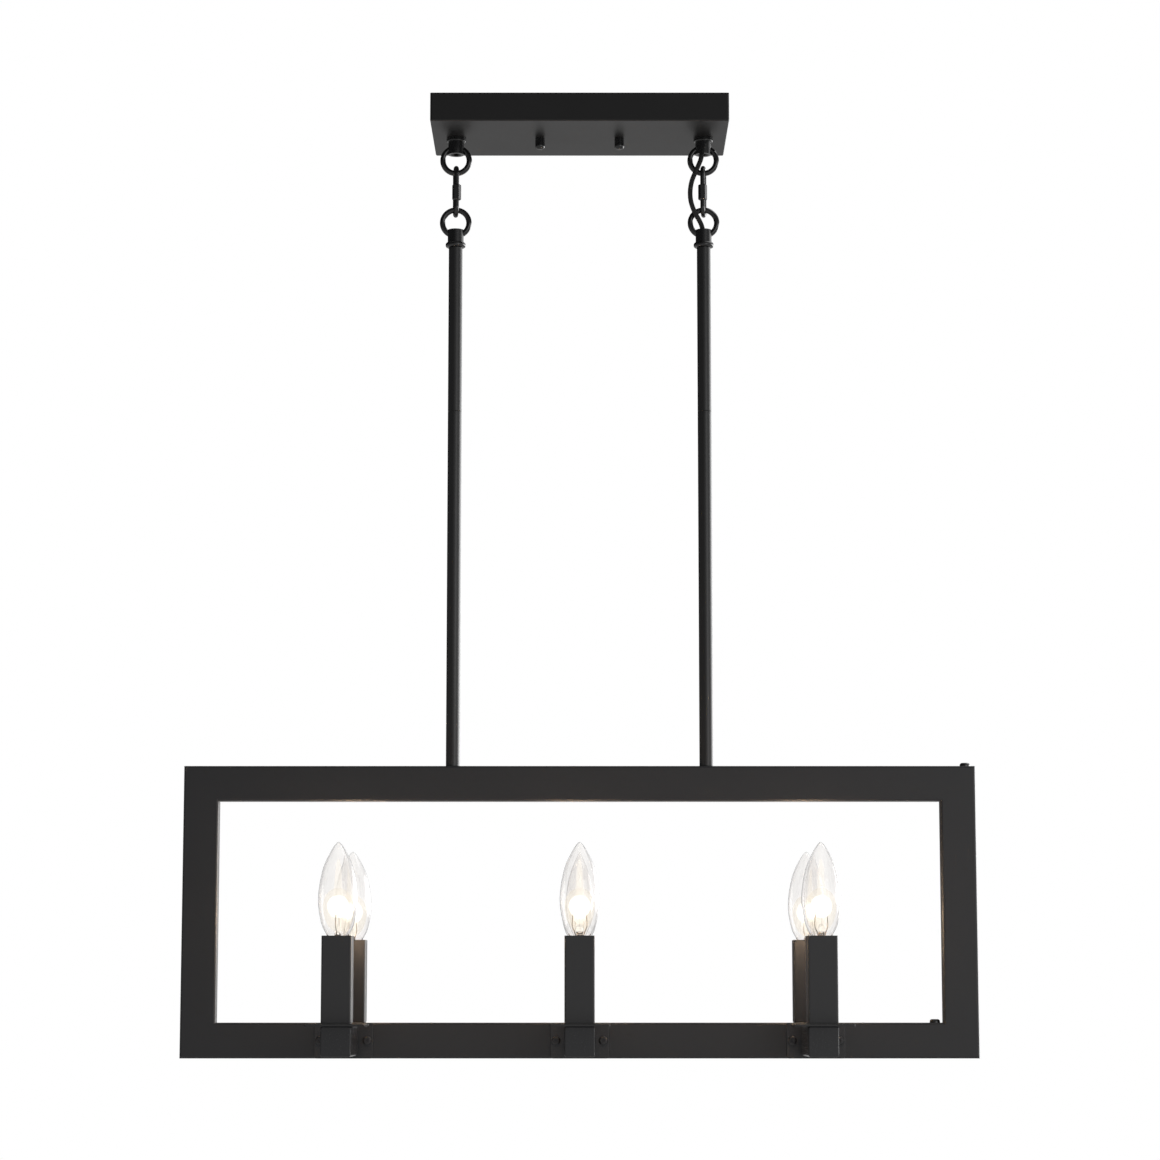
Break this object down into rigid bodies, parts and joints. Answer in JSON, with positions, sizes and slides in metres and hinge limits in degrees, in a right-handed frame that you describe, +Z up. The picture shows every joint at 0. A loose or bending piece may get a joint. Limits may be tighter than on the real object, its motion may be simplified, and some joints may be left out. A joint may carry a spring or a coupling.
{
  "type": "linear island pendant",
  "caption": "Rectangular tube frame on two looped rods under a box canopy, with square candle sleeves on side arms front and rear and clear torpedo lamps.",
  "frame": {"origin": "on the ceiling plane, at the centre of the two outlet box slots in the crossbar", "axes": "+Z up to the ceiling, +X along the frame to the viewer's right, -Y to the front"},
  "size_m": [0.678, 0.218, 0.8282],
  "materials": {
    "canopy_paint": "powder coat, satin black",
    "hardware_paint": "painted satin black",
    "link_paint": "dip painted satin black",
    "rod_paint": "powder coat, satin black",
    "frame_paint": "powder coat, satin black",
    "arm_paint": "powder coat, satin black",
    "sleeve_paint": "powder coat, satin black",
    "plate_paint": "powder coat, satin black",
    "plated_steel": "zinc plated",
    "socket_plastic": "moulded, black",
    "connector_plastic": "moulded, orange",
    "cable_jacket": "smooth black jacket",
    "lead_jacket": "smooth insulation",
    "lamp_metal": "nickel plated, threaded",
    "lamp_glass": "clear, polished"
  },
  "bodies": {
    "canopy": {"canopy_pan": "canopy_paint", "crossbar": "plated_steel", "canopy_studs": "plated_steel", "canopy_cap_nuts": "hardware_paint", "ground_screw": "plated_steel", "wire_nuts": "connector_plastic", "canopy_leads": "lead_jacket", "left_canopy_loop": "hardware_paint", "right_canopy_loop": "hardware_paint", "loop_nuts": "plated_steel"},
    "left_link": {"left_link": "link_paint"},
    "left_link_nut": {"left_link_nut": "link_paint"},
    "right_link": {"right_link": "link_paint", "supply_cable": "cable_jacket"},
    "right_link_nut": {"right_link_nut": "link_paint"},
    "hanger": {"left_rod_loop": "hardware_paint", "right_rod_loop": "hardware_paint", "left_upper_rod": "rod_paint", "right_upper_rod": "rod_paint", "left_lower_rod": "rod_paint", "right_lower_rod": "rod_paint", "rod_nipples": "plated_steel", "top_rail": "frame_paint", "bottom_rail": "frame_paint", "left_post": "frame_paint", "right_post": "frame_paint", "hole_plugs": "hardware_paint", "front_left_arm": "arm_paint", "front_centre_arm": "arm_paint", "front_right_arm": "arm_paint", "rear_left_arm": "arm_paint", "rear_centre_arm": "arm_paint", "rear_right_arm": "arm_paint", "arm_screws": "hardware_paint", "drip_plates": "plate_paint", "sleeve_seats": "plate_paint", "candle_nipples": "plated_steel", "nipple_nuts": "plated_steel", "sockets": "socket_plastic", "front_left_sleeve": "sleeve_paint", "front_centre_sleeve": "sleeve_paint", "front_right_sleeve": "sleeve_paint", "rear_left_sleeve": "sleeve_paint", "rear_centre_sleeve": "sleeve_paint", "rear_right_sleeve": "sleeve_paint", "splice_blocks": "connector_plastic", "frame_cable": "cable_jacket", "candle_leads": "lead_jacket"},
    "front_left_lamp": {"front_left_lamp_base": "lamp_metal", "front_left_lamp_glass": "lamp_glass"},
    "front_centre_lamp": {"front_centre_lamp_base": "lamp_metal", "front_centre_lamp_glass": "lamp_glass"},
    "front_right_lamp": {"front_right_lamp_base": "lamp_metal", "front_right_lamp_glass": "lamp_glass"},
    "rear_left_lamp": {"rear_left_lamp_base": "lamp_metal", "rear_left_lamp_glass": "lamp_glass"},
    "rear_centre_lamp": {"rear_centre_lamp_base": "lamp_metal", "rear_centre_lamp_glass": "lamp_glass"},
    "rear_right_lamp": {"rear_right_lamp_base": "lamp_metal", "rear_right_lamp_glass": "lamp_glass"}
  },
  "joints": [
    {"name": "right_link_swing", "type": "hinge", "parent": "canopy", "child": "right_link", "pos_m": [0.109, 0, -0.0566], "axis": [1, 0, 0], "range_deg": [-25, 25], "deforming": ["supply_cable"]},
    {"name": "hanger_swing", "type": "hinge", "parent": "right_link", "child": "hanger", "pos_m": [0.109, 0, -0.0898], "axis": [1, 0, 0], "range_deg": [-25, 25]},
    {"name": "left_link_swing", "type": "hinge", "parent": "canopy", "child": "left_link", "pos_m": [-0.109, 0, -0.0566], "axis": [1, 0, 0], "range_deg": [-25, 25]},
    {"name": "left_link_nut_travel", "type": "slide", "parent": "left_link", "child": "left_link_nut", "axis": [0, 0, 1], "range_m": [0, 0.0092]},
    {"name": "right_link_nut_travel", "type": "slide", "parent": "right_link", "child": "right_link_nut", "axis": [0, 0, 1], "range_m": [0, 0.0092]},
    {"name": "front_left_lamp_removal", "type": "slide", "parent": "hanger", "child": "front_left_lamp", "axis": [0, 0, 1], "range_m": [0, 0.022]},
    {"name": "front_centre_lamp_removal", "type": "slide", "parent": "hanger", "child": "front_centre_lamp", "axis": [0, 0, 1], "range_m": [0, 0.022]},
    {"name": "front_right_lamp_removal", "type": "slide", "parent": "hanger", "child": "front_right_lamp", "axis": [0, 0, 1], "range_m": [0, 0.022]},
    {"name": "rear_left_lamp_removal", "type": "slide", "parent": "hanger", "child": "rear_left_lamp", "axis": [0, 0, 1], "range_m": [0, 0.022]},
    {"name": "rear_centre_lamp_removal", "type": "slide", "parent": "hanger", "child": "rear_centre_lamp", "axis": [0, 0, 1], "range_m": [0, 0.022]},
    {"name": "rear_right_lamp_removal", "type": "slide", "parent": "hanger", "child": "rear_right_lamp", "axis": [0, 0, 1], "range_m": [0, 0.022]}
  ],
  "couplings": [
    {"joint": "left_link_swing", "follows": "right_link_swing", "ratio": 1}
  ]
}
